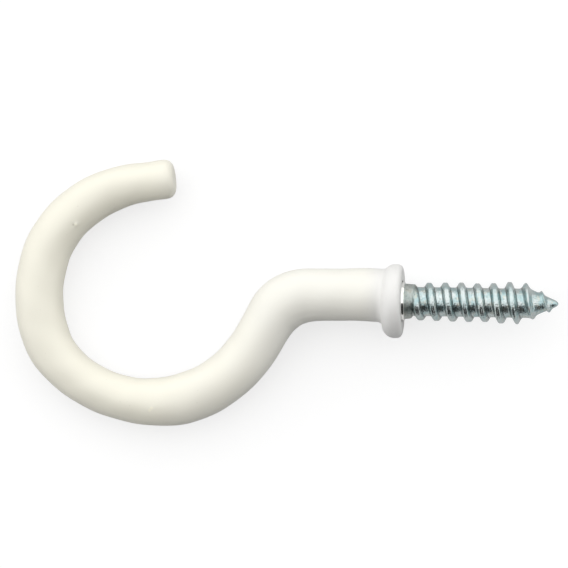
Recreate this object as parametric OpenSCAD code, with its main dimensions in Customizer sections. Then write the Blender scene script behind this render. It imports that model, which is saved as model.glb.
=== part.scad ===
// Coated cup hook: one steel wire with an upset collar and a rolled wood-screw thread,
// dipped in plastic from the tip of the hook to the collar's mounting face.
// The screw's axis is +X, the hook lies in the XY plane with its tip towards +Y, and the
// origin is the centre of the collar's mounting face, which sits against the wall or shelf.

/* [Wire] */
// Diameter of the bare wire in the hook
wire_d = 3.3; // [3:0.1:3.6]
// Diameter of the wire at its cut end, in the tip of the hook
wire_end_d = 2.7; // [2.3:0.1:3]
// How far the wire sits off the screw's axis, towards the tip of the hook
neck_offset = 0.5; // [0.2:0.1:0.6]

/* [Hook] */
// Straight neck, from the mounting face to the first bend
neck_len = 8.6; // [6:0.1:14]
// Radius of the wire's middle line where the neck bends down into the bow
bend_r = 4.2; // [3.5:0.1:6]
// Angle of that bend
bend_turn = 61; // [55:1:66]
// Straight stretch between that bend and the bow
ramp_len = 2.6; // [1:0.2:5]
// Radius of the lower side of the bow
low_r = 11.5; // [10.5:0.1:13]
// Angle of the lower side of the bow
low_turn = 112; // [106:1:118]
// Radius of the tight corner between the two sides of the bow
corner_r = 5.8; // [5:0.1:9]
// Angle of that corner
corner_turn = 14; // [8:1:20]
// Radius of the upper side of the bow
high_r = 10.7; // [10:0.1:12]
// Angle of the upper side of the bow
high_turn = 108; // [100:1:114]
// Straight tip of the hook, over the coat
tip_len = 3.3; // [2:0.1:5]

/* [Coat] */
// Thickness of the plastic on the bow and the tip
coat_t = 0.55; // [0.4:0.05:0.8]
// Thickness of the plastic on the neck where it meets the collar, where the dip drains to
collar_coat_t = 0.85; // [0.6:0.05:1]
// Thickness of the plastic at the far end of the neck and round the first bend
neck_coat_t = 0.77; // [0.5:0.05:0.9]
// Radius that rounds the end of the coated tip
tip_round = 0.85; // [0.3:0.05:1.2]
// Primer left between the steel and the plastic
primer_t = 0.02; // [0.01:0.01:0.05]

/* [Collar] */
// Diameter of the steel collar
collar_d = 5.8; // [5.4:0.1:6.4]
// Thickness of the steel collar
collar_t = 1; // [0.8:0.1:1.4]
// Radius that rounds both edges of the steel collar
collar_round = 0.3; // [0.1:0.05:0.35]
// Thickness of the plastic on the collar's rim
rim_coat_t = 0.55; // [0.4:0.05:0.8]
// Thickness of the plastic on the collar's mounting face
face_coat_t = 0.35; // [0.2:0.05:0.6]
// Thickness of the plastic on the back of the collar
back_coat_t = 0.5; // [0.4:0.05:0.8]
// Radius of the coated rim towards the hook
rim_back_round = 0.9; // [0.5:0.05:1]
// Radius of the coated rim towards the mounting face
rim_face_round = 0.6; // [0.3:0.05:0.7]
// Radius of the hollow where the coated neck runs into the collar
neck_fillet = 0.5; // [0.3:0.05:0.6]

/* [Screw] */
// Diameter of the smooth land where the shank leaves the collar
land_d = 3.6; // [3.5:0.05:3.8]
// How far the land stands out of the mounting face
land_out = 0.2; // [0.05:0.05:0.3]
// Diameter of the plain shank next to the land
shank_d = 3.34; // [3.1:0.02:3.4]
// Diameter of the plain shank next to the thread
shank_end_d = 3.16; // [3:0.02:3.2]
// Length of the plain shank, from the mounting face
shank_len = 1.15; // [0.8:0.05:3]
// Length of the screw, from the mounting face to the tip of its point
screw_len = 14.5; // [12:0.25:20]
// Length of the cone of the point
point_len = 2.65; // [2:0.05:3.5]
// Diameter of the screw's core between the turns of the thread
core_d = 2.74; // [2.5:0.02:2.9]
// Diameter of the small flat that the tip of the point ends in
tip_flat_d = 0.24; // [0.1:0.02:0.4]

/* [Thread] */
// Distance from one turn to the next
pitch = 1.5; // [1.2:0.05:1.8]
// Diameter over the first turns, where rolling left the crest blunt
blunt_d = 3.6; // [3.4:0.05:3.8]
// Diameter over the last full turns, where the crest is sharp
sharp_d = 3.94; // [3.6:0.02:4.2]
// Width of a turn at its foot
foot_w = 1; // [0.8:0.05:1.1]
// Width of the crest of the first turns
blunt_w = 0.46; // [0.2:0.02:0.6]
// Width of the crest of the last turns
sharp_w = 0.14; // [0.08:0.02:0.3]
// Where the middle of the first turn crosses the hook's side of the screw
thread_phase = 0.95; // [0.6:0.05:1]

/* [Hidden] */
$fn = 96;

wire_r = wire_d / 2;
wire_end_r = wire_end_d / 2;

// The collar from the mounting face back: plastic, steel, plastic.
collar_face_x = -face_coat_t;
collar_back_x = collar_face_x - collar_t;
flange_t = face_coat_t + collar_t + back_coat_t;
flange_r = collar_d / 2 + rim_coat_t;
mouth_round = min(0.2, face_coat_t * 0.6);

// The middle line of the bent wire, from inside the collar to the tip of the hook.
// Each stretch is [radius, turn, length]: a left turn is positive, and 0 is straight.
line_start_x = collar_face_x - collar_t / 2;
STRETCHES = [
    [0, 0, neck_len + line_start_x],
    [bend_r, bend_turn, 0],
    [0, 0, ramp_len],
    [low_r, -low_turn, 0],
    [corner_r, -corner_turn, 0],
    [high_r, -high_turn, 0],
    [0, 0, tip_len]
];
LAST = len(STRETCHES) - 1;
line_start_heading = 180;

// How the stretches of bar lap into each other.
joint_lap = 0.05;
joint_step = 0.01;

// Thread: steps round one turn, and the range of steps from the plain shank to the point.
turn_steps = 36;
bury = 0.8;
thread_end_gap = 0.55;
steps = floor((screw_len - thread_end_gap - thread_phase) / pitch * turn_steps);
point_x = screw_len - point_len;
shank_chamfer = shank_end_d / 2 - core_d / 2 + 0.1;
fade_in_len = 0.5;
run_out = 0.9;

// The far end of a stretch, in the frame of its own start with +X ahead.
function far_end(s) =
    s[1] == 0 ? [s[2], 0]
    : [s[0] * sin(abs(s[1])), sign(s[1]) * s[0] * (1 - cos(s[1]))];

function turned(v, a) = [v.x * cos(a) - v.y * sin(a), v.x * sin(a) + v.y * cos(a)];

// Heading and place of the start of stretch i.
function heading(i) = i == 0 ? line_start_heading : heading(i - 1) + STRETCHES[i - 1][1];
function start(i) =
    i == 0 ? [line_start_x, neck_offset]
    : start(i - 1) + turned(far_end(STRETCHES[i - 1]), heading(i - 1));

// Puts its children at the start of stretch i, with +X ahead along the wire.
module at_start(i) {
    translate(start(i)) rotate(heading(i)) children();
}

// Turns what was made round +Z to lie round +X.
module along_x() {
    rotate([0, 90, 0]) children();
}

// One stretch of round bar. A straight one may taper from r_near to r_far.
// The stretches with an even number are a hair thinner than their neighbours and reach a
// little way into them, so that each joint is one solid with no face lying on another.
module bar(i, r_near, r_far) {
    s = STRETCHES[i];
    is_inner = i % 2 == 0;
    thinner = is_inner ? joint_step : 0;
    lap = is_inner ? joint_lap : 0;
    at_start(i)
        if (s[1] == 0)
            translate([-lap, 0]) along_x()
                cylinder(h = s[2] + 2 * lap, r1 = r_near - thinner, r2 = r_far - thinner);
        else
            bend(s[0], s[1], r_near - thinner, lap);
}

// A bend that starts ahead along +X and turns by the angle turn, to the left if positive.
module bend(radius, turn, r_bar, lap) {
    lap_angle = lap / radius * 180 / PI;
    span = abs(turn) + 2 * lap_angle;
    from = turn > 0 ? -90 - lap_angle : 90 + turn - lap_angle;
    translate([0, sign(turn) * radius])
        rotate(from) rotate_extrude(angle = span) translate([radius, 0]) circle(r_bar);
}

// The bar round every bend, and the straight ones between them.
module bent_bar(r_collar, r_bend, r_bow) {
    bar(0, r_collar, r_bend);
    bar(1, r_bend, r_bend);
    bar(2, r_bend, r_bow);
    for (i = [3 : LAST - 1]) bar(i, r_bow, r_bow);
}

// The straight tip: a cone with a rounded end, cut_back short of the coated length.
module tip_bar(r_near, r_far, edge, cut_back) {
    cone_len = tip_len - cut_back - edge;
    at_start(LAST) translate([-joint_lap, 0]) along_x() {
        cylinder(h = cone_len + joint_lap, r1 = r_near - joint_step, r2 = r_far);
        translate([0, 0, cone_len + joint_lap - joint_step]) rotate_extrude()
            rounded_end(r_far - joint_step, edge + joint_step);
    }
}

// Half section of a plug whose far edge is rounded.
module rounded_end(r, edge) {
    square([r - edge, edge]);
    translate([r - edge, 0])
        intersection() {
            circle(edge);
            square(edge);
        }
}

// Half section of a disc on the screw's axis, with its two edges rounded.
// It lies between z = 0, its face, and z = -t, its back.
module disc_section(r, t, face_round, back_round) {
    difference() {
        translate([0, -t]) square([r, t]);
        translate([r - face_round, -face_round]) edge_waste(face_round);
        translate([r - back_round, back_round - t]) mirror([0, 1]) edge_waste(back_round);
    }
}

// What is cut off a square corner to round it.
module edge_waste(r) {
    difference() {
        square(2 * r);
        circle(r);
    }
}

module steel_collar(grow) {
    translate([collar_face_x + grow, 0, 0]) along_x() rotate_extrude()
        disc_section(collar_d / 2 + grow, collar_t + 2 * grow,
            collar_round + grow, collar_round + grow);
}

module steel_wire(grow) {
    bent_bar(wire_r + grow, wire_r + grow, wire_r + grow);
    tip_bar(wire_r + grow, wire_end_r + grow, wire_end_r / 3 + grow, coat_t - grow);
}

// The land and the plain shank, with the chamfer that runs down into the thread's core.
module plain_shank() {
    translate([collar_face_x - collar_t / 2, 0, 0]) along_x()
        cylinder(h = land_out - collar_face_x + collar_t / 2, d = land_d);
    along_x() cylinder(h = shank_len, d1 = shank_d, d2 = shank_end_d);
    translate([shank_len, 0, 0]) along_x()
        cylinder(h = shank_chamfer, r1 = shank_end_d / 2, r2 = shank_end_d / 2 - shank_chamfer);
}

// Radius of the screw's core: even, then a cone down to the tip.
function core_r(x) =
    x < point_x ? core_d / 2
    : core_d / 2 - (core_d - tip_flat_d) / 2 * (x - point_x) / point_len;

// How far along the screw x lies, from 0 at the plain shank to 1 at the start of the point.
function along(x) = max(0, min(1, (x - shank_len) / (point_x - shank_len)));

// Height of the thread over the core: it grows out of the shank and runs out on the point.
function grown(x) = max(0.04, min(1, (x - shank_len + fade_in_len / 2) / fade_in_len));
function left_over(x) = min(1, max(0.12, (screw_len - x) / (point_len * run_out)));
function ridge_h(x) =
    ((blunt_d + (sharp_d - blunt_d) * along(x)) / 2 - core_d / 2) * grown(x) * left_over(x);

// The four corners of a turn's section at step s, as [along the screw, radius].
function turn_section(s) =
    let (
        x = thread_phase + pitch * s / turn_steps,
        half_foot = foot_w / 2 * left_over(x),
        half_crest = (blunt_w + (sharp_w - blunt_w) * along(x)) / 2 * left_over(x)
    )
    [
        [x - half_foot, core_r(x - half_foot)],
        [x - half_crest, core_r(x) + ridge_h(x)],
        [x + half_crest, core_r(x) + ridge_h(x)],
        [x + half_foot, core_r(x + half_foot)]
    ];

function on_screw(p, a) = [p.x, p.y * cos(a), p.y * sin(a)];
function step_angle(s) = 360 * s / turn_steps;

// The threaded shank as one skin. Its corners run along the helix, so that a turn's
// section has four corners at each step, and the core is the strip between two turns.
module threaded_shank() {
    root_x = shank_len - bury;
    root_r = core_d / 2 * 0.97;
    // corners: one ring at the root, then four for each step, then the tip
    ring = [for (s = [0 : turn_steps - 1]) on_screw([root_x, root_r], step_angle(s))];
    helix = [for (s = [0 : steps], p = turn_section(s)) on_screw(p, step_angle(s))];
    tip = [screw_len, 0, 0];
    points = concat(ring, helix, [tip]);
    tip_id = len(points) - 1;
    function id(s, k) = turn_steps + 4 * s + k;
    ridge = [
        for (s = [0 : steps - 1], k = [0 : 2])
            [id(s, k), id(s, k + 1), id(s + 1, k + 1), id(s + 1, k)]
    ];
    core = [
        for (s = [0 : steps - turn_steps - 1])
            [id(s, 3), id(s + turn_steps, 0), id(s + turn_steps + 1, 0), id(s + 1, 3)]
    ];
    first_core = [
        for (s = [0 : turn_steps - 1])
            [s, id(s, 0), id(s + 1, 0), (s + 1) % turn_steps]
    ];
    first_end = [
        for (k = [0 : 2]) [0, id(0, k + 1), id(0, k)],
        [0, id(turn_steps, 0), id(0, 3)]
    ];
    last_core = [
        for (s = [steps - turn_steps : steps - 1]) [id(s, 3), tip_id, id(s + 1, 3)]
    ];
    last_end = [
        [id(steps - turn_steps, 3), id(steps, 0), tip_id],
        for (k = [0 : 2]) [id(steps, k), id(steps, k + 1), tip_id]
    ];
    root_cap = [[for (s = [0 : turn_steps - 1]) s]];
    polyhedron(
        points = points,
        faces = concat(ridge, core, first_core, first_end, last_core, last_end, root_cap)
    );
}

module steel_hook() {
    color([0.72, 0.76, 0.76]) {
        steel_wire(0);
        steel_collar(0);
        plain_shank();
        threaded_shank();
    }
}

// The neck's outer surface where it flares into the collar, made round the wire's axis.
module neck_flare() {
    r_neck = wire_r + collar_coat_t;
    sink = neck_fillet * 0.16;
    intersection() {
        translate([sink - flange_t, neck_offset, 0]) along_x() rotate_extrude()
            difference() {
                translate([0, -neck_fillet]) square([r_neck + neck_fillet, neck_fillet]);
                translate([r_neck + neck_fillet, -neck_fillet]) circle(neck_fillet);
            }
        translate([-flange_t - neck_fillet, 0, 0]) along_x()
            cylinder(h = 2 * neck_fillet, r = flange_r - rim_back_round / 3);
    }
}

module dip_coat() {
    color([0.93, 0.92, 0.88])
    difference() {
        union() {
            bent_bar(wire_r + collar_coat_t, wire_r + neck_coat_t, wire_r + coat_t);
            tip_bar(wire_r + coat_t, wire_end_r + coat_t, tip_round, 0);
            along_x() rotate_extrude()
                disc_section(flange_r, flange_t, rim_face_round, rim_back_round);
            neck_flare();
        }
        steel_wire(primer_t);
        steel_collar(primer_t);
        along_x() mirror([0, 0, 1]) mouth_waste();
    }
}

// The round mouth in the mounting face, where the steel land comes out of the coat.
module mouth_waste() {
    mouth_r = land_d / 2 + primer_t;
    rotate_extrude() {
        translate([0, -1]) square([mouth_r, 1 + face_coat_t + collar_t / 2]);
        difference() {
            translate([0, -1]) square([mouth_r + mouth_round, 1 + mouth_round]);
            translate([mouth_r + mouth_round, mouth_round]) circle(mouth_round);
        }
    }
}

steel_hook();
dip_coat();
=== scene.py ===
# %% [markdown]
# # A plastic-coated cup hook
#
# A cup hook is screwed into the edge of a shelf and holds a cup by its handle.
# It starts as one length of steel wire. One end is rolled into a wood-screw thread, a
# collar is squeezed out of the wire beside it, and the rest is bent into a bow. Then the
# bow and the collar are dipped in liquid plastic, which sets as a thick soft skin.
#
# The solid model holds the steel and its coat as two plain solids. In this lesson both
# get a finer skin. Each surface is a round section carried along a line, so it is
# written as rings of points with numpy. Curves with modifiers could do it too, but with
# a formula every number is a size that can be measured on a real hook.

# %% Load the frame
import math

import bmesh
import bpy
import numpy as np
from mathutils import Matrix, Vector


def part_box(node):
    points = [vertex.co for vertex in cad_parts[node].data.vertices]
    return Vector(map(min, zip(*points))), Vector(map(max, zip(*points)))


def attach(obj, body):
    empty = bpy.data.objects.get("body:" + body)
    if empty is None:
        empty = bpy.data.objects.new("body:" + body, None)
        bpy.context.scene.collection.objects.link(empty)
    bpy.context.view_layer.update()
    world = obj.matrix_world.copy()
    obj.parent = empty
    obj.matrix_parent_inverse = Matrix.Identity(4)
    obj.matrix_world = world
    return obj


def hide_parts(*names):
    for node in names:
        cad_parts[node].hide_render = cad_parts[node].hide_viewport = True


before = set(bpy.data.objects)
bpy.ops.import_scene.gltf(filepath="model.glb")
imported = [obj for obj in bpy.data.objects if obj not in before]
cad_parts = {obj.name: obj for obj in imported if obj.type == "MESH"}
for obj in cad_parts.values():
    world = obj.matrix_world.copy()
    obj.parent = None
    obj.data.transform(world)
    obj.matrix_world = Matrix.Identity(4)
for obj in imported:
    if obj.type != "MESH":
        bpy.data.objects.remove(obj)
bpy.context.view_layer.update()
print("CAD nodes:", sorted(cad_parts))

# %% [markdown]
# ## Driving sizes
#
# Sizes are in millimetres here and become metres only when a mesh is made. X runs along
# the screw away from the bow, and the coated collar's face lies at X = 0. The sizes that
# both models share are read from the frame, so the skins always fit the solids.

# %% Sizes
MM = 0.001
steel_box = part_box("steel_hook")
coat_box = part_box("dip_coat")
SCREW_LEN = steel_box[1].x / MM
COLLAR_R = steel_box[1].z / MM
FLANGE_R = coat_box[1].z / MM
FACE_X = coat_box[1].x / MM
PRIMER = 0.02
print(f"screw {SCREW_LEN:.2f}, steel collar r {COLLAR_R:.2f}, coated collar r {FLANGE_R:.2f}")

# %% [markdown]
# ## From rings to a closed mesh
#
# A grid is a stack of rings with the same number of points. Quads join each ring to the
# next, and the last quad of a ring closes on its first point. On a screw thread a ring
# is one turn of a helix, so it closes on the ring one pitch further on, which is what
# `lead` is for. Where rings shrink to a point or two grids meet, the points coincide,
# and a weld makes one closed skin of them.

# %% Grid to mesh
COLUMNS = 144
TURN = np.arange(COLUMNS) * 2 * np.pi / COLUMNS
WELD = 1e-7


def ring_quads(rows, lead=0):
    """Corner numbers of the quads between neighbouring rings. Column j joins column j + 1,
    and the last column joins the first column of the ring that is lead rows further on."""
    row, column = np.meshgrid(np.arange(rows - 1), np.arange(COLUMNS), indexing="ij")
    next_column = (column + 1) % COLUMNS
    jump = np.where(next_column == 0, lead, 0)
    near = np.minimum(row + jump, rows - 1)
    far = np.minimum(row + 1 + jump, rows - 1)
    corners = [
        row * COLUMNS + column,
        near * COLUMNS + next_column,
        far * COLUMNS + next_column,
        (row + 1) * COLUMNS + column,
    ]
    return np.stack(corners, axis=-1).reshape(-1, 4)


def ring_uv(rows, low, high):
    """Places of the quads' corners on the UV map: once round is u from 0 to 1, and the
    rows share the strip of v from low to high."""
    row, column = np.meshgrid(np.arange(rows - 1), np.arange(COLUMNS), indexing="ij")
    u = np.stack([column, column + 1, column + 1, column], axis=-1) / COLUMNS
    v = np.stack([row, row, row + 1, row + 1], axis=-1) / (rows - 1)
    return np.stack([u, low + (high - low) * v], axis=-1).reshape(-1, 2)


def skin(name, *grids):
    """One closed mesh object from grids of rings, each given as (points in mm, lead)."""
    points, quads, uv = [], [], []
    first = 0
    for number, (grid, lead) in enumerate(grids):
        rows = len(grid)
        points.append(grid.reshape(-1, 3) * MM)
        quads.append(ring_quads(rows, lead) + first)
        uv.append(ring_uv(rows, number / len(grids), (number + 1) / len(grids)))
        first += rows * COLUMNS
    mesh = bpy.data.meshes.new(name)
    mesh.from_pydata(np.concatenate(points).tolist(), [], np.concatenate(quads).tolist())
    mesh.uv_layers.new(name="wrap").data.foreach_set("uv", np.concatenate(uv).ravel())
    shape = bmesh.new()
    shape.from_mesh(mesh)
    bmesh.ops.remove_doubles(shape, verts=shape.verts, dist=WELD)
    open_edges = sum(len(edge.link_faces) != 2 for edge in shape.edges)
    triangles = sum(len(face.verts) - 2 for face in shape.faces)
    volume = shape.calc_volume(signed=True) / MM**3
    shape.to_mesh(mesh)
    shape.free()
    mesh.shade_smooth()
    piece = bpy.data.objects.new(name, mesh)
    bpy.context.scene.collection.objects.link(piece)
    print(f"{name}: {triangles} triangles, {open_edges} open edges, {volume:.1f} mm3")
    return piece


# %% Turned profiles
def spin(profile):
    """Rings round the screw's axis through the points (x, radius) of a profile."""
    x, radius = np.asarray(profile, float).T[:, :, None]
    return np.stack([x + 0 * TURN, radius * np.cos(TURN), radius * np.sin(TURN)], axis=-1)


def arc(x, r, radius, start, end, count=8):
    """Points (x, r) on an arc round a centre, from one angle to another in degrees."""
    angle = np.radians(np.linspace(start, end, count))
    return np.stack([x + radius * np.cos(angle), r + radius * np.sin(angle)], axis=-1)


print("points in a turned ring:", spin([(0, 1)]).shape[1])

# %% [markdown]
# ## The middle line of the bent wire
#
# On the bench the wire is bent round pins: a straight neck, one bend down, then a bow of
# two wide bends with a tighter corner between them, and a short straight tip. So the
# route is a list of lengths and turns, not a list of points. The heading changes evenly
# along a bend. Springy wire has no jump in curvature either, so the headings are
# averaged over a short window before they are added up into places.

# %% Middle line
NECK_OFFSET = 0.5
NECK_LEN = 8.6
RAMP_LEN = 2.6
TIP_LEN = 3.3
START_HEADING = 180
LINE_STEP = 0.05
EASE = 2.0


def bend(radius, turn):
    """Length and turn of a bend. A turn to the right is negative."""
    return radius * math.radians(abs(turn)), turn


FIRST_BEND = bend(4.2, 61)
LOW_BOW = bend(11.5, -112)
BOW_CORNER = bend(5.8, -14)
HIGH_BOW = bend(10.7, -108)
ROUTE = np.array([
    (NECK_LEN, 0), FIRST_BEND, (RAMP_LEN, 0), LOW_BOW, BOW_CORNER, HIGH_BOW, (TIP_LEN, 0)])


def middle_line():
    """Distances along the wire from the collar's face, with the place and the heading at
    each. The heading runs evenly through each stretch and is averaged over EASE mm, and
    its cosine and sine are added up step by step."""
    ends = np.concatenate([[0], np.cumsum(ROUTE[:, 0])])
    headings = START_HEADING + np.concatenate([[0], np.cumsum(ROUTE[:, 1])])
    s = np.arange(-EASE, ends[-1] + EASE, LINE_STEP)
    heading = np.radians(np.interp(s, ends, headings))
    window = np.hanning(round(EASE / LINE_STEP) + 1)
    padded = np.pad(heading, len(window) // 2, mode="edge")
    heading = np.convolve(padded, window / window.sum(), mode="valid")
    steps = np.stack([np.cos(heading), np.sin(heading)]) * LINE_STEP
    place = np.cumsum((steps + np.roll(steps, 1, axis=1)) / 2, axis=1)
    at_face = np.array([np.interp(0, s, axis) for axis in place])
    place += np.array([0, NECK_OFFSET])[:, None] - at_face[:, None]
    return s, place, heading, ends[-1]


LINE_S, LINE_PLACE, LINE_HEADING, WIRE_END = middle_line()


def rings(s, radius, angle):
    """Points round the middle line: at distance s along it, radius away from it, and at an
    angle that is 0 towards the inside of the bow and 90 degrees towards +Z."""
    x = np.interp(s, LINE_S, LINE_PLACE[0])
    y = np.interp(s, LINE_S, LINE_PLACE[1])
    heading = np.interp(s, LINE_S, LINE_HEADING)
    side = radius * np.cos(angle)
    up = radius * np.sin(angle)
    return np.stack([x + side * np.sin(heading), y - side * np.cos(heading), up], axis=-1)


print(f"middle line {WIRE_END:.2f} mm long, ends near {LINE_PLACE[:, -1].round(2)}")

# %% [markdown]
# ## The steel under the plastic
#
# Under the plastic run the wire and its squeezed collar. Nobody sees them, but the steel
# is one piece and the coat needs an inside, so they are made too, with few rings. The
# same function serves twice: as it is for the steel, and grown by the thickness of the
# primer for the inside of the coat, which keeps the two skins from touching.

# %% Wire and collar
WIRE_R = 1.65
WIRE_END_R = 1.35
WIRE_END_ROUND = 0.45
COAT_AT_TIP = 0.55
COLLAR_FACE_X = -0.35
COLLAR_T = 1.0
COLLAR_ROUND = 0.3
LAND_R = 1.8
HIDDEN_STEP = 0.8
END_RINGS = 8


def wire_rings(grow):
    """Rings from the wire's end to the back of the collar. The radius is even, tapers over
    the straight tip, and ends in a quarter circle and a flat."""
    edge = WIRE_END_ROUND + grow
    end = WIRE_END - COAT_AT_TIP + grow
    end_r = WIRE_END_R + grow
    back = -(COLLAR_FACE_X - COLLAR_T) + grow
    angle = np.radians(np.linspace(90, 0, END_RINGS))
    round_s = end - edge + edge * np.sin(angle)
    round_r = end_r - edge + edge * np.cos(angle)
    plain_s = np.arange(end - edge - HIDDEN_STEP, back, -HIDDEN_STEP)
    plain_r = np.interp(plain_s, [WIRE_END - TIP_LEN, end - edge], [WIRE_R + grow, end_r])
    s = np.concatenate([[end], round_s, plain_s, [back]])
    radius = np.concatenate([[0], round_r, plain_r, [WIRE_R + grow]])
    return rings(s[:, None], radius[:, None], TURN)


def collar_rings(grow):
    """Rings over the steel collar, from its back round both edges to the land."""
    face = COLLAR_FACE_X + grow
    back = COLLAR_FACE_X - COLLAR_T - grow
    edge = COLLAR_ROUND + grow
    inner_r = COLLAR_R + grow - edge
    return spin(np.concatenate([
        arc(back + edge, inner_r, edge, 180, 90),
        arc(face - edge, inner_r, edge, 90, 0),
        [(face, LAND_R + grow)],
    ]))


def hidden_steel(grow):
    """Wire and collar in one grid, from the wire's end to the root of the land."""
    return np.concatenate([wire_rings(grow), collar_rings(grow)])


print("hidden steel, rings and points a ring:", hidden_steel(0).shape[:2])

# %% [markdown]
# ## The plain shank
#
# A narrow turned ring, the land, shows in the mouth of the coat. Beyond it the shank
# stays plain for about a millimetre and steps down to the root of the thread, because
# thread rolling pushes the steel up from a thinner core. Both are profiles spun round
# the axis, and the thread below starts from the same two radius formulas.

# %% Plain shank
LAND_OUT = 0.2
LAND_ROUND = 0.03
SHANK_R = 1.67
SHANK_END_R = 1.59
SHANK_LEN = 1.15
SHANK_SLANT = 0.18
CHAMFER = 0.22
CORE_R = 1.355
TIP_R = 0.2
TIP_ROUND = 0.25
POINT_LEN = 2.65
THREAD_FROM = 0.6
SLANT_RUN = 0.1
UNDER_CORE = 0.97
HIDDEN_LAND = 0.1
LAND_RINGS = 4
SHANK_RINGS = 5


def shank_r(x):
    """Radius of the plain shank: a slight taper, then a chamfer down to the core. The end
    of the shank is slanted, so below the axis the chamfer starts earlier."""
    slanted = np.clip(x - THREAD_FROM, 0, SLANT_RUN) / SLANT_RUN
    level_x = x + SHANK_SLANT * (1 - np.cos(TURN)) * slanted
    stations = [0, SHANK_LEN, SHANK_LEN + CHAMFER]
    return np.interp(level_x, stations, [SHANK_R, SHANK_END_R, UNDER_CORE * CORE_R])


def core_r(x):
    """Radius of the core: even, then a cone on the point with a small round tip."""
    cone = np.interp(x, [SCREW_LEN - POINT_LEN, SCREW_LEN], [CORE_R, TIP_R])
    to_tip = np.clip((SCREW_LEN - x) / TIP_ROUND, 0, 1)
    return cone * np.sqrt(1 - (1 - to_tip) ** 2)


def shank_rings():
    """Rings over the land and the plain shank as far as the thread's first ring."""
    land = spin(np.concatenate([
        [(COLLAR_FACE_X + HIDDEN_LAND, LAND_R)],
        arc(LAND_OUT - LAND_ROUND, LAND_R - LAND_ROUND, LAND_ROUND, 90, 0, LAND_RINGS),
    ]))
    x = np.linspace(LAND_OUT, THREAD_FROM, SHANK_RINGS)[:, None] + 0 * TURN
    radius = shank_r(x)
    shank = np.stack([x, radius * np.cos(TURN), radius * np.sin(TURN)], axis=-1)
    return np.concatenate([land, shank])


print(f"shank {2 * SHANK_R:.2f} mm wide, core {2 * CORE_R:.2f} mm")

# %% [markdown]
# ## The rolled thread
#
# Two dies roll the thread and the steel flows up between their ridges. Near the collar
# the dies don't quite close, so the crest stays blunt with a shallow seam in its middle.
# Towards the point it gets high, with one sharper place, and on the point it gets low
# and thin and fades out.
#
# A straight grid would cut the crest into steps. Here the profile of one turn is carried
# along the helix instead: a column turns with the angle, and a row keeps its place on
# the profile, so each crest is a clean line of the mesh.

# %% Thread
PITCH = 1.5
FIRST_CREST = 0.95
CREST_X = [0.95, 1.4, 2.5, 4, 6, 7, 8.4, 9.2, 10, 10.8, 11.5, 12.2, 12.95, 13.7, 14.2]
CREST_H = [0, 0.41, 0.42, 0.46, 0.50, 0.43, 0.48, 0.57, 0.62, 0.62, 0.54, 0.27, 0.30, 0.26, 0]
SHARP_X = [10.3, 10.8, 11.4, 12.2, 14.2]
CREST_HALF = [0.20, 0.15, 0.12, 0.07, 0.03]
FOOT_HALF = [0.52, 0.50, 0.50, 0.42, 0.24]
BELL_HALF = [0.355, 0.25, 0.31, 0.21, 0.13]
BELL_POWER = [4.0, 1.7, 2.4, 1.6, 1.5]
SEAM_DEPTH = 0.022
SEAM_HALF = 0.07
HALF_ROWS = 13


def half_turn(crest_x, share):
    """Distance from the crest's middle and height over the core, on one side of a turn.
    share runs from 0 to 1 over the crest, to 2 down the flank and to 3 over the root.
    The height is the crest's height times e to the minus (distance / bell) ^ power."""
    crest, flank, root = (np.clip(share - step, 0, 1) for step in range(3))
    half_crest, half_foot, bell, power = (
        np.interp(crest_x, SHARP_X, sizes)
        for sizes in (CREST_HALF, FOOT_HALF, BELL_HALF, BELL_POWER))
    across = crest * half_crest + flank * (half_foot - half_crest)
    across = across + root * (PITCH / 2 - half_foot)
    height = np.interp(crest_x, CREST_X, CREST_H) * np.exp(-((across / bell) ** power))
    blunt = np.interp(crest_x, [CREST_X[1], CREST_X[2], *SHARP_X[:2]], [0, 1, 1, 0])
    return across, height - SEAM_DEPTH * blunt * np.exp(-((across / SEAM_HALF) ** 2))


def thread_rings():
    """Rings that follow the helix. Each turn has the far side of one crest and then the
    near side of the next, and what lies outside the thread's length is pulled to its end."""
    turns = math.ceil((SCREW_LEN - FIRST_CREST) / PITCH) + 1
    share = np.linspace(0, 3, HALF_ROWS)
    turn = np.arange(-2, turns)[:, None, None]
    crest_x = FIRST_CREST + PITCH * (turn + TURN / (2 * np.pi))
    far, far_h = half_turn(crest_x, share[:-1, None])
    near, near_h = half_turn(crest_x + PITCH, share[:0:-1, None])
    x = np.concatenate([crest_x + far, crest_x + PITCH - near], axis=1)
    ridge = np.concatenate([far_h, near_h], axis=1).reshape(-1, COLUMNS)
    x = np.clip(x, THREAD_FROM, SCREW_LEN).reshape(-1, COLUMNS)
    thread = core_r(x) + ridge * (x < SCREW_LEN)
    shank = shank_r(x) * (x < SHANK_LEN + CHAMFER)
    radius = np.maximum(thread, shank)
    return np.stack([x, radius * np.cos(TURN), radius * np.sin(TURN)], axis=-1)


screw = thread_rings()
print(f"thread {2 * np.hypot(screw[..., 1], screw[..., 2]).max():.2f} mm wide over the crests")

# %% Steel piece
SHARP_EDGE = 50
steel = skin(
    "zinc_steel_hook",
    (np.concatenate([hidden_steel(0), shank_rings()]), 0),
    (screw, 2 * (HALF_ROWS - 1)),
)
steel.data.set_sharp_from_angle(angle=math.radians(SHARP_EDGE))

# %% [markdown]
# ## How thick the plastic is
#
# The hook is dipped with its tip down, and the plastic drains back as it sets. So the
# coat is thinnest at the tip and thickest beside the collar, it heaps up in the inner
# corner of the first bend, and it is never quite even. The radius is a smooth line
# through seven radii, and extra thickness is given inside and outside the bow at each
# station along the wire. Low slow waves and a few small marks are added on top as
# real shape, because soft light shows them on a glossy skin.

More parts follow.
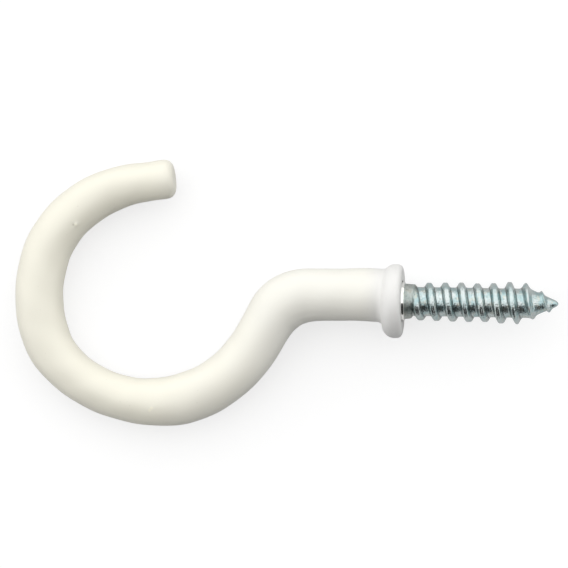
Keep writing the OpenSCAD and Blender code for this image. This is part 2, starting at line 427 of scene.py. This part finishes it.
# %% Coat thickness
COAT_KNOTS = [0, 0.12, 0.3, 0.5, 0.65, 0.8, 1]
COAT_RADII = [2.5, 2.434, 2.383, 2.068, 2.222, 2.225, 1.81]
KNOT_SMOOTH = 61
STATIONS = [2, 5, 8, 10, 12, 14, 16, 19, 22, 25, 28, 31, 34, 37, 40, 43, 46, 49, 52, 55, 58, 61]
INNER_EXTRA = [0.06, 0.04, -0.04, 0.06, 0.15, -0.06, -0.06, -0.01, 0.03, 0.10, 0.11,
               0.04, -0.04, -0.09, -0.01, 0.09, 0.06, -0.06, -0.02, 0.09, 0.11, -0.03]
OUTER_EXTRA = [-0.04, -0.04, 0.05, 0.19, 0.18, -0.03, -0.08, -0.02, 0.12, 0.17, 0.01,
               -0.11, -0.05, 0.05, 0.05, 0.01, -0.02, 0.07, 0.05, -0.06, -0.12, -0.12]
EXTRA_SMOOTH = 41
RELIEF_ENDS = [2.0, 3.2, 60.8, 62.1]
FINE_STEPS = 400


def coat_r(s):
    """Radius of the coat along the wire: straight lines from knot to knot, averaged."""
    fine = np.linspace(0, 1, FINE_STEPS)
    line = np.interp(fine, COAT_KNOTS, COAT_RADII)
    window = np.hanning(KNOT_SMOOTH)
    padded = np.pad(line, KNOT_SMOOTH // 2, mode="edge")
    line = np.convolve(padded, window / window.sum(), mode="valid")
    return np.interp(s / WIRE_END, fine, line)


# Each wave: height in mm, radians for each mm along, waves in once round, and phase.
WAVES = [(0.018, 0.83, 2, 0), (0.012, 1.9, -3, 0), (0.008, 0.37, 5, 1)]

# Each mark: height, mm along the wire, degrees round it, length, width and slant.
DRAIN_LINES = [
    (0.022, 8.8, 146, 2.2, 0.13, 0),
    (0.018, 7.0, 158, 2.6, 0.16, 0),
    (0.016, 9.4, 128, 2.0, 0.16, 0),
]
NIB_AND_PINHOLE = [(0.12, 52.25, 59, 0.20, 0.18, 0), (-0.07, 52.06, 64, 0.13, 0.15, 0)]
RAISED_STREAK = [(0.05, 27.42, 102.5, 0.32, 0.11, 1.1)]
NECK_NICK_AND_LINE = [(0.06, 3.6, 55, 0.24, 0.14, 0), (-0.03, 4.6, 52, 0.7, 0.10, 0)]
MARKS = DRAIN_LINES + NIB_AND_PINHOLE + RAISED_STREAK + NECK_NICK_AND_LINE


def mark(s, angle, at, turned, length, width, slant):
    """1 at one place on the coat, falling off as a bell over length mm along the wire and
    width mm round it. slant shifts it round by so many mm for each mm along."""
    along = s - at
    round_it = coat_r(s) * np.angle(np.exp(1j * (angle - np.radians(turned))))
    return np.exp(-((along / length) ** 2) - ((round_it - slant * along) / width) ** 2)


def extra(s, heights):
    """Extra thickness along the wire: straight lines from station to station, averaged."""
    fine = np.arange(0, WIRE_END, LINE_STEP)
    window = np.hanning(EXTRA_SMOOTH)
    padded = np.pad(np.interp(fine, STATIONS, heights), EXTRA_SMOOTH // 2, mode="edge")
    return np.interp(s, fine, np.convolve(padded, window / window.sum(), mode="valid"))


def relief(s, angle):
    """Height over the even coat in mm: extra thickness on the inside and the outside of the
    bow, slow waves, drain lines under the neck, and the marks. It fades out at both ends."""
    height = extra(s, INNER_EXTRA) * np.clip(np.cos(angle), 0, 1) ** 2
    height = height + extra(s, OUTER_EXTRA) * np.clip(-np.cos(angle), 0, 1) ** 2
    for size, along, lobes, phase in WAVES:
        height = height + size * np.sin(along * s + lobes * angle + phase)
    for size, *place in MARKS:
        height = height + size * mark(s, angle, *place)
    return height * np.interp(s, RELIEF_ENDS, [0, 1, 1, 0])


print("coat radius at the tip, bow and neck:", coat_r(np.array([WIRE_END, 35, 4])).round(2))

# %% [markdown]
# ## The skin of the plastic
#
# The coat is one closed wall. Its rings start at the tip, run back along the bow and the
# neck, flare into the collar, turn round its rim and its face, dip into the mouth round
# the screw, and come back along the steel to the tip. The neck sits a little off the
# screw's axis, so the hollow between neck and collar is worked out for each angle.

# %% Bow and neck
COAT_STEP = 0.16
COAT_TIP_ROUND = 0.85
FILLET = 0.5
BACK_ROUND = 1.1
FACE_ROUND = 0.5
BACK_X = -1.85
RIM_X = BACK_X + BACK_ROUND
RIM_MID = FLANGE_R - BACK_ROUND
ROUND_RINGS = 14
FLAT_RINGS = 6
FILLET_RINGS = 10
BACK_RINGS = 26


def coated_bow():
    """Rings from the tip to the start of the neck, with a flat and rounded tip."""
    end_r = coat_r(WIRE_END)
    angle = np.radians(np.linspace(90, 0, ROUND_RINGS))
    flat = end_r - COAT_TIP_ROUND
    share = np.linspace(0, 1, FLAT_RINGS)[:-1]
    round_s = WIRE_END - COAT_TIP_ROUND * (1 - np.sin(angle))
    round_r = flat + COAT_TIP_ROUND * np.cos(angle)
    plain_s = np.arange(WIRE_END - COAT_TIP_ROUND - COAT_STEP, NECK_LEN, -COAT_STEP)
    s = np.concatenate([0 * share + WIRE_END, round_s, plain_s])[:, None]
    radius = np.concatenate([flat * share, round_r, coat_r(plain_s)])[:, None]
    return rings(s, radius + relief(s, TURN), TURN)


def neck_edge():
    """Distance from the screw's axis to the neck's surface beside the collar, at each
    angle: the neck is a circle that sits NECK_OFFSET off the axis."""
    return NECK_OFFSET * np.cos(TURN) + np.sqrt(
        coat_r(0) ** 2 - (NECK_OFFSET * np.sin(TURN)) ** 2)


def hollow():
    """Middle of the fillet between neck and collar at each angle, and how far it is tipped.
    Where the rim is too close for a flat back, the fillet touches the rim's round."""
    middle_r = neck_edge() + FILLET
    reach = BACK_ROUND + FILLET
    over = np.maximum(middle_r - RIM_MID, 0)
    return RIM_X - np.sqrt(reach**2 - over**2), middle_r, np.arcsin(over / reach)


def coated_neck():
    """Rings along the straight neck. Their points slide round a little, from even angles
    about the wire to even angles about the screw's axis."""
    hollow_x, _, _ = hollow()
    share = np.linspace(0, 1, round(NECK_LEN / COAT_STEP))[:, None]
    s = NECK_LEN + (-hollow_x - NECK_LEN) * share
    edge = neck_edge()
    seen = np.unwrap(np.arctan2(edge * np.sin(TURN), edge * np.cos(TURN) - NECK_OFFSET))
    angle = TURN + (seen - TURN) * share
    return rings(s, coat_r(s) + relief(s, angle), angle)


edge = neck_edge()
print(f"neck {edge.min():.2f} to {edge.max():.2f} mm from the screw's axis")

# %% Coated collar
LIP_ROUND = 0.12
MOUTH_R = LAND_R + 0.13


def coated_collar():
    """Rings over the fillet, the back and the rounded rim of the coated collar."""
    hollow_x, hollow_r, tilt = hollow()
    share = np.linspace(0, 1, FILLET_RINGS)[1:, None]
    angle = -np.pi / 2 + (np.pi / 2 - tilt) * share
    fillet = np.stack([hollow_x + FILLET * np.cos(angle), hollow_r + FILLET * np.sin(angle)])
    flat = np.maximum(RIM_MID - hollow_r, 0)
    share = np.linspace(0, 1, BACK_RINGS)[1:, None]
    run = share * (flat + BACK_ROUND * (np.pi / 2 - tilt))
    angle = np.pi - tilt - np.clip(run - flat, 0, None) / BACK_ROUND
    back = np.stack([
        RIM_X + BACK_ROUND * np.cos(angle),
        RIM_MID + BACK_ROUND * np.sin(angle) - np.clip(flat - run, 0, None),
    ])
    x, radius = np.concatenate([fillet, back], axis=1)
    return np.stack([x, radius * np.cos(TURN), radius * np.sin(TURN)], axis=-1)


def coated_face():
    """Rings over the rim's front edge, the face, and the lip of the mouth."""
    edge_r = FLANGE_R - FACE_ROUND
    lip_r = MOUTH_R + LIP_ROUND
    return spin(np.concatenate([
        arc(FACE_X - FACE_ROUND, edge_r, FACE_ROUND, 90, 0, ROUND_RINGS),
        [(FACE_X, radius) for radius in np.linspace(edge_r, lip_r, FLAT_RINGS)[1:-1]],
        arc(FACE_X - LIP_ROUND, lip_r, LIP_ROUND, 0, -90),
        [(COLLAR_FACE_X + PRIMER, MOUTH_R)],
    ]))


print(f"mouth {2 * MOUTH_R:.2f} mm wide round a land of {2 * LAND_R:.2f} mm")

# %% Coat piece
coat_outside = np.concatenate([coated_bow(), coated_neck(), coated_collar(), coated_face()])
coat_inside = hidden_steel(PRIMER)[::-1]
coat = skin("plastic_coat", (np.concatenate([coat_outside, coat_inside]), 0))

# %% [markdown]
# ## Riding on the frame
#
# The frame is one body that never bends. Each skin rides on it and stands for the solid
# node it was made over, which is hidden.

# %% Bodies
for piece, node, slot in ((steel, "steel_hook", "zinc_steel"), (coat, "dip_coat", "dip_plastic")):
    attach(piece, "root")
    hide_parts(node)
    print(piece.name, "stands for", node)

# %% [markdown]
# ## Shader maths in plain Python
#
# A finish is a sum of small effects, such as a cloudy colour plus a few specks. Wiring
# that by hand takes dozens of nodes. So a small class wraps one socket and turns + - *
# into Math nodes, and a second class adds any other node in one call.

# %% Node helpers
class Flow:
    """One socket of a node tree. Sums with it add Math nodes, so 1 - mask works."""

    def __init__(self, nodes, socket):
        self.nodes = nodes
        self.socket = socket

    def _math(self, operation, first, second):
        settings = {"operation": operation}
        return self.nodes.add("ShaderNodeMath", settings, {0: first, 1: second})

    def __add__(self, other):
        return self._math("ADD", self, other)

    def __sub__(self, other):
        return self._math("SUBTRACT", self, other)

    def __rsub__(self, other):
        return self._math("SUBTRACT", other, self)

    def __mul__(self, other):
        return self._math("MULTIPLY", self, other)

    __radd__ = __add__
    __rmul__ = __mul__

    def between(self, low, high):
        """0 below low, 1 above high, and a smooth slope from one to the other."""
        settings = {"interpolation_type": "SMOOTHSTEP"}
        values = {"Value": self, "From Min": low, "From Max": high}
        return self.nodes.add("ShaderNodeMapRange", settings, values)


class Nodes:
    """The node tree of a material or world, and ways to add nodes to it."""

    def __init__(self, owner):
        owner.use_nodes = True
        self.tree = owner.node_tree
        self.tree.nodes.clear()

    def add(self, kind, settings=None, values=None, output=0):
        """Adds a node: its settings first, then the value or link of each socket."""
        node = self.tree.nodes.new(kind)
        for key, value in (settings or {}).items():
            setattr(node, key, value)
        for key, value in (values or {}).items():
            if isinstance(value, Flow):
                self.tree.links.new(value.socket, node.inputs[key])
            else:
                node.inputs[key].default_value = value
        return Flow(self, node.outputs[output])

    def vector(self, operation, first, second=(0, 0, 0), output="Vector"):
        """A Vector Math node."""
        settings = {"operation": operation}
        return self.add("ShaderNodeVectorMath", settings, {0: first, 1: second}, output)

    def blend(self, share, first, second):
        """Mixes two colours."""
        values = {0: share, 6: first, 7: second}
        return self.add("ShaderNodeMix", {"data_type": "RGBA"}, values, 2)

    def millimetres(self):
        """The place on the object in millimetres."""
        place = self.add("ShaderNodeTexCoord", output="Object")
        return self.vector("MULTIPLY", place, (1 / MM, 1 / MM, 1 / MM))

    def noise(self, place, size, detail=2.0, stretch=(1, 1, 1)):
        """Noise from 0 to 1 with lumps of the size in mm, drawn out along the axes."""
        scale = tuple(1 / (size * axis) for axis in stretch)
        values = {"Vector": self.vector("MULTIPLY", place, scale), "Scale": 1, "Detail": detail}
        return self.add("ShaderNodeTexNoise", None, values)

    def spot(self, place, centre, inner, outer):
        """1 within inner mm of a point on the object and 0 beyond outer mm."""
        return 1 - self.vector("DISTANCE", place, centre, "Value").between(inner, outer)

    def bump(self, height, depth, below=None):
        """A Bump node on top of another one: height from 0 to 1 stands for depth in mm."""
        values = {"Height": height, "Distance": depth * MM}
        if below:
            values["Normal"] = below
        return self.add("ShaderNodeBump", None, values)

    def end(self, shader, kind="ShaderNodeOutputMaterial"):
        """Links the shader to a new output of the tree."""
        output = self.tree.nodes.new(kind)
        self.tree.links.new(shader.socket, output.inputs["Surface"])


print("helpers ready:", Flow.__name__, Nodes.__name__)

# %% [markdown]
# ## The finish of the plastic
#
# The real coat is a soft vinyl skin: an off-white that is creamier where it is thin over
# the bow and greyer where it is thick at the collar, with a low sheen. It could be one
# plain colour, but then it looks like a drawing. So the colour drifts in faint clouds,
# a few dust specks and one pinhole are caught in it, and rubbed places are duller. The
# nib and the raised streak get painted highlights in whiter colour, and the mouth round
# the screw is painted near black as shade.

# %% Plastic finish
CREAM = (0.885, 0.86, 0.745, 1)
IVORY = (0.88, 0.868, 0.80, 1)
THICK_WHITE = (0.815, 0.81, 0.79, 1)
DUST = (0.46, 0.42, 0.34, 1)
MOUTH_SHADE = (0.05, 0.045, 0.035, 1)
GLINT_WHITE = (0.98, 0.95, 0.80, 1)
PINHOLE = (-30.84, 6.62, 1.95)
GLINT_SPOTS = [(-30.58, 6.64, 1.97), (-23.33, -10.59, 2.11), (-23.14, -10.36, 2.15)]
CREAM_TO_IVORY = (-22, -4)
IVORY_TO_WHITE = (-4, -1.5)
CLOUD_SHIFT = 8
DUSTY = (0.76, 0.82)
RUBBED = (0.58, 0.75)
MOUTH_FLOOR = (-0.45, -0.4)
MOUTH_TOP = (-0.12, 0)
MOUTH_WALL = (1.94, 2.02)
GRAIN_DEPTH = 0.002
PEEL_DEPTH = 0.012


def dip_plastic():
    material = bpy.data.materials.new("ivory dip plastic")
    nodes = Nodes(material)
    place = nodes.millimetres()
    along = nodes.add("ShaderNodeSeparateXYZ", None, {0: place}, "X")
    cloud = nodes.noise(place, 5.0)
    clouded = along + CLOUD_SHIFT * cloud
    colour = nodes.blend(clouded.between(*CREAM_TO_IVORY), CREAM, IVORY)
    colour = nodes.blend(along.between(*IVORY_TO_WHITE), colour, THICK_WHITE)
    dust = nodes.noise(place, 0.22, 1.0).between(*DUSTY)
    pinhole = nodes.spot(place, PINHOLE, 0.03, 0.17)
    colour = nodes.blend(0.3 * dust + 0.4 * pinhole, colour, DUST)
    # Painted highlights: the nib and the raised streak are blended towards white, as glints.
    for centre in GLINT_SPOTS:
        colour = nodes.blend(0.8 * nodes.spot(place, centre, 0.06, 0.24), colour, GLINT_WHITE)
    flat_place = nodes.vector("MULTIPLY", place, (0, 1, 1))
    radius = nodes.vector("LENGTH", flat_place, output="Value")
    # Painted shade: the mouth round the screw is blended to near black, as shade in the recess.
    mouth = along.between(*MOUTH_FLOOR) * (1 - along.between(*MOUTH_TOP))
    mouth = mouth * (1 - radius.between(*MOUTH_WALL))
    colour = nodes.blend(mouth, colour, MOUTH_SHADE)
    rubbed = nodes.noise(place, 1.1, 3.0, (2.4, 0.8, 0.8)).between(*RUBBED)
    peel = nodes.noise(place, 0.7, 1.0)
    grain = nodes.noise(place, 0.07)
    nodes.end(nodes.add("ShaderNodeBsdfPrincipled", None, {
        "Base Color": colour,
        "Roughness": 0.34 + 0.08 * cloud + 0.14 * rubbed,
        "Normal": nodes.bump(grain, GRAIN_DEPTH, nodes.bump(peel, PEEL_DEPTH)),
        "IOR": 1.49,
    }))
    return material


coat.data.materials.append(dip_plastic())
print("coat finish:", coat.data.materials[0].name)

# %% [markdown]
# ## The finish of the steel
#
# The screw is zinc plated: a bright metal with a faint blue-green tint. The dies leave
# fine lines that run round it, the plating is cloudy and pitted, and the shank beside the
# collar is browner and rougher because no die has pressed it. Straw stains lie on the
# plating, the foot of the ridge is painted dark as shade, and the crests and the land
# are rubbed bright. All of this follows from where a point is, so each effect is a mask
# made of the distance along the screw, the distance from its axis, and noise.

# %% Steel finish
ZINC_BLUE = (0.41, 0.54, 0.55, 1)
ZINC_SILVER = (0.60, 0.66, 0.655, 1)
BROWNED = (0.34, 0.335, 0.29, 1)
STRAW = (0.56, 0.575, 0.50, 1)
SOOT_AND_SHADE = (0.08, 0.09, 0.09, 1)
POLISHED = (0.93, 0.93, 0.90, 1)
LAND_END = (0.18, 0.26)
SLANTED_AXIS = (1, -0.11, 0)
PLAIN_END = (0.95, 1.35)
RUBBED_CREST = (1.68, 1.86)
FOOT_BELOW = (1.365, 1.41)
FOOT_ABOVE = (1.43, 1.56)
FOOT_END = (11, 11.8)
FOOT_SHADE = 0.65
SILVERY = (0.38, 0.62)
STAINED = (0.54, 0.66)
PITTED = (0.57, 0.72)
LINE_DEPTH = 0.06
PIT_DEPTH = 0.035


def zinc_steel():
    material = bpy.data.materials.new("zinc plated steel")
    nodes = Nodes(material)
    place = nodes.millimetres()
    along = nodes.add("ShaderNodeSeparateXYZ", None, {0: place}, "X")
    slanted = nodes.vector("DOT_PRODUCT", place, SLANTED_AXIS, "Value")
    flat_place = nodes.vector("MULTIPLY", place, (0, 1, 1))
    radius = nodes.vector("LENGTH", flat_place, output="Value")
    land = 1 - along.between(*LAND_END)
    plain = (1 - land) * (1 - slanted.between(*PLAIN_END))
    crest = radius.between(*RUBBED_CREST) * (1 - land)
    cloud = nodes.noise(place, 0.9, 3.0)
    lines = nodes.noise(place, 0.5, 4.0, (0.25, 1.2, 1.2))
    stain = nodes.noise(place, 0.38, 2.0)
    pits = nodes.noise(place, 0.14, 2.0)
    # The foot of the ridge is a crease, and it is darkened below as painted shade.
    foot = radius.between(*FOOT_BELOW) * (1 - radius.between(*FOOT_ABOVE))
    foot = foot * (1 - along.between(*FOOT_END))
    colour = nodes.blend(cloud.between(*SILVERY), ZINC_BLUE, ZINC_SILVER)
    colour = nodes.blend(0.6 * stain.between(*STAINED), colour, STRAW)
    colour = nodes.blend(crest * 0.5, colour, ZINC_SILVER)
    colour = nodes.blend(plain * 0.5, colour, BROWNED)
    # Real dirt in the pits and painted shade at the foot of the ridge share one soot colour.
    pit_dirt_and_foot_shade = pits.between(*PITTED) * (0.3 + 0.5 * plain) * (1 - 0.6 * crest)
    pit_dirt_and_foot_shade = pit_dirt_and_foot_shade + FOOT_SHADE * foot
    colour = nodes.blend(pit_dirt_and_foot_shade, colour, SOOT_AND_SHADE)
    colour = nodes.blend(land, colour, POLISHED)
    rough = 0.13 + 0.12 * lines + 0.12 * cloud + 0.14 * plain
    normal = nodes.bump(lines * (1 - 0.8 * land), LINE_DEPTH)
    normal = nodes.bump(pits * (1 - 0.9 * land), PIT_DEPTH, normal)
    nodes.end(nodes.add("ShaderNodeBsdfPrincipled", None, {
        "Base Color": colour,
        "Roughness": rough * (1 - 0.65 * land) - 0.06 * crest,
        "Metallic": 1.0,
        "Normal": normal,
    }))
    return material


steel.data.materials.append(zinc_steel())
print("steel finish:", steel.data.materials[0].name)

# %% [markdown]
# ## The table
#
# A hook laid down rests on the rim of its collar and on its bow, which is thinner, so it
# leans a little. The white sheet under it leans by the same amount here, because the
# model stays level. The sheet is a diffuse grey that keeps the soft shadow, and a plain
# glow makes it white for the camera. In reflections the glow is weaker, because a sheet
# that is all white would light the metal from below and take away its dark side.

# %% White sheet
SHEET_SIZE = 3.0
SHEET_GREY = (0.36, 0.36, 0.36, 1)
SHEET_GLOW = 0.69
MIRRORED_GLOW = 0.45


def rest_lean():
    """Slope of the sheet: the least rise over run from the rim's lowest point to any point
    of the bow."""
    x, _, z = coat_outside.reshape(-1, 3).T
    bow = x < -NECK_LEN
    return ((z[bow] + FLANGE_R) / (RIM_X - x[bow])).min()


def white_sheet():
    """A square sheet that touches the rim and the bow from below."""
    lean = rest_lean()
    x, y = SHEET_SIZE / 2 * np.array([(-1, -1), (1, -1), (1, 1), (-1, 1)]).T
    z = -FLANGE_R * MM - lean * (x - RIM_X * MM)
    mesh = bpy.data.meshes.new("white_sheet")
    mesh.from_pydata(np.stack([x, y, z], axis=-1).tolist(), [], [(0, 1, 2, 3)])
    sheet = bpy.data.objects.new("white_sheet", mesh)
    bpy.context.scene.collection.objects.link(sheet)
    print(f"the sheet leans {math.degrees(math.atan(lean)):.2f} degrees")
    return sheet


def white_paper():
    material = bpy.data.materials.new("white paper")
    nodes = Nodes(material)
    seen = nodes.add("ShaderNodeLightPath", output="Is Camera Ray")
    for ray in ("Is Glossy Ray", "Is Transmission Ray"):
        seen = seen + MIRRORED_GLOW * nodes.add("ShaderNodeLightPath", output=ray)
    paper = nodes.add("ShaderNodeBsdfDiffuse", None, {"Color": SHEET_GREY})
    glow = nodes.add("ShaderNodeEmission", None, {"Strength": SHEET_GLOW * seen})
    nodes.end(nodes.add("ShaderNodeAddShader", None, {0: paper, 1: glow}))
    return material


sheet = white_sheet()
sheet.data.materials.append(white_paper())

# %% [markdown]
# ## The studio
#
# The hook lies under one large soft light: a sky that is bright all over but for one wide
# dim place in front of the hook, halfway up. The dim place gives a round white bar its
# shape, and gives the screw the dark line that every bright metal rod shows. It fades
# out at the horizon, so that a low view has a pale background too. One big weak lamp on
# the far side adds a little direction.

# %% Sky
SKY_BRIGHT = 1.335
SKY_DIM = 0.04
DIM_PLACE = Vector((0.20, -0.80, 0.54)).normalized()
DIM_STRETCH = (0.7, 1, 1)
DIM_EDGE = (0.63, 0.81)
HORIZON = (-0.04, 0.06)
world = bpy.data.worlds.new("studio")
bpy.context.scene.world = world
nodes = Nodes(world)
direction = nodes.add("ShaderNodeTexCoord", output="Generated")
narrowed = nodes.vector("NORMALIZE", nodes.vector("MULTIPLY", direction, DIM_STRETCH))
near_dim = nodes.vector("DOT_PRODUCT", narrowed, DIM_PLACE, "Value")
high = nodes.add("ShaderNodeSeparateXYZ", None, {0: direction}, "Z")
dim = near_dim.between(*DIM_EDGE) * high.between(*HORIZON)
nodes.end(nodes.add("ShaderNodeBackground", None, {
    "Color": (1, 1, 1, 1),
    "Strength": SKY_BRIGHT - (SKY_BRIGHT - SKY_DIM) * dim,
}), "ShaderNodeOutputWorld")
print("sky from", SKY_DIM, "to", SKY_BRIGHT)

# %% Soft lamp
MIDDLE = Vector((-11.154, 1.414, 0)) * MM
LAMP_SIDE = (-0.45, 0.55, 0.7)
LAMP_DISTANCE = 0.8
LAMP_SIZE = 0.55
LAMP_LEVEL = 0.05


def soft_lamp(name, direction, distance, size, level):
    """A square lamp that lights a white face turned to it with the level given: a small
    lamp does that at an energy of level times pi squared times its distance squared."""
    lamp = bpy.data.lights.new(name, "AREA")
    lamp.shape = "SQUARE"
    lamp.size = size
    lamp.energy = level * (math.pi * distance) ** 2
    holder = bpy.data.objects.new(name, lamp)
    away = Vector(direction).normalized()
    turn = away.to_track_quat("Z", "Y").to_matrix().to_4x4()
    holder.matrix_world = Matrix.Translation(MIDDLE + away * distance) @ turn
    bpy.context.scene.collection.objects.link(holder)
    print(f"{name}: {lamp.energy:.2f} W")


soft_lamp("soft_key", LAMP_SIDE, LAMP_DISTANCE, LAMP_SIZE, LAMP_LEVEL)

# %% [markdown]
# ## The camera
#
# The camera looks almost straight down on the hook from arm's length. It stands a few
# degrees towards the screw's end and is rolled by one degree. The lens follows from how
# wide a strip of the table the picture takes in.

# %% Camera
DISTANCE = 0.45
LEAN = math.radians(6.2)
ROLL = math.radians(0.974)
WIDTH_SEEN = 53.072 * MM
camera_data = bpy.data.cameras.new("camera")
camera_data.lens = camera_data.sensor_width * DISTANCE / WIDTH_SEEN
camera = bpy.data.objects.new("camera", camera_data)
bpy.context.scene.collection.objects.link(camera)
back = Vector((math.sin(LEAN), 0, math.cos(LEAN)))
right = Vector((-math.sin(ROLL), math.cos(ROLL), 0)).cross(back).normalized()
turned = Matrix((right, back.cross(right), back)).transposed().to_4x4()
camera.matrix_world = Matrix.Translation(MIDDLE + back * DISTANCE) @ turned
bpy.context.scene.camera = camera
bpy.context.scene.view_settings.view_transform = "Standard"
print(f"lens {camera_data.lens:.0f} mm")
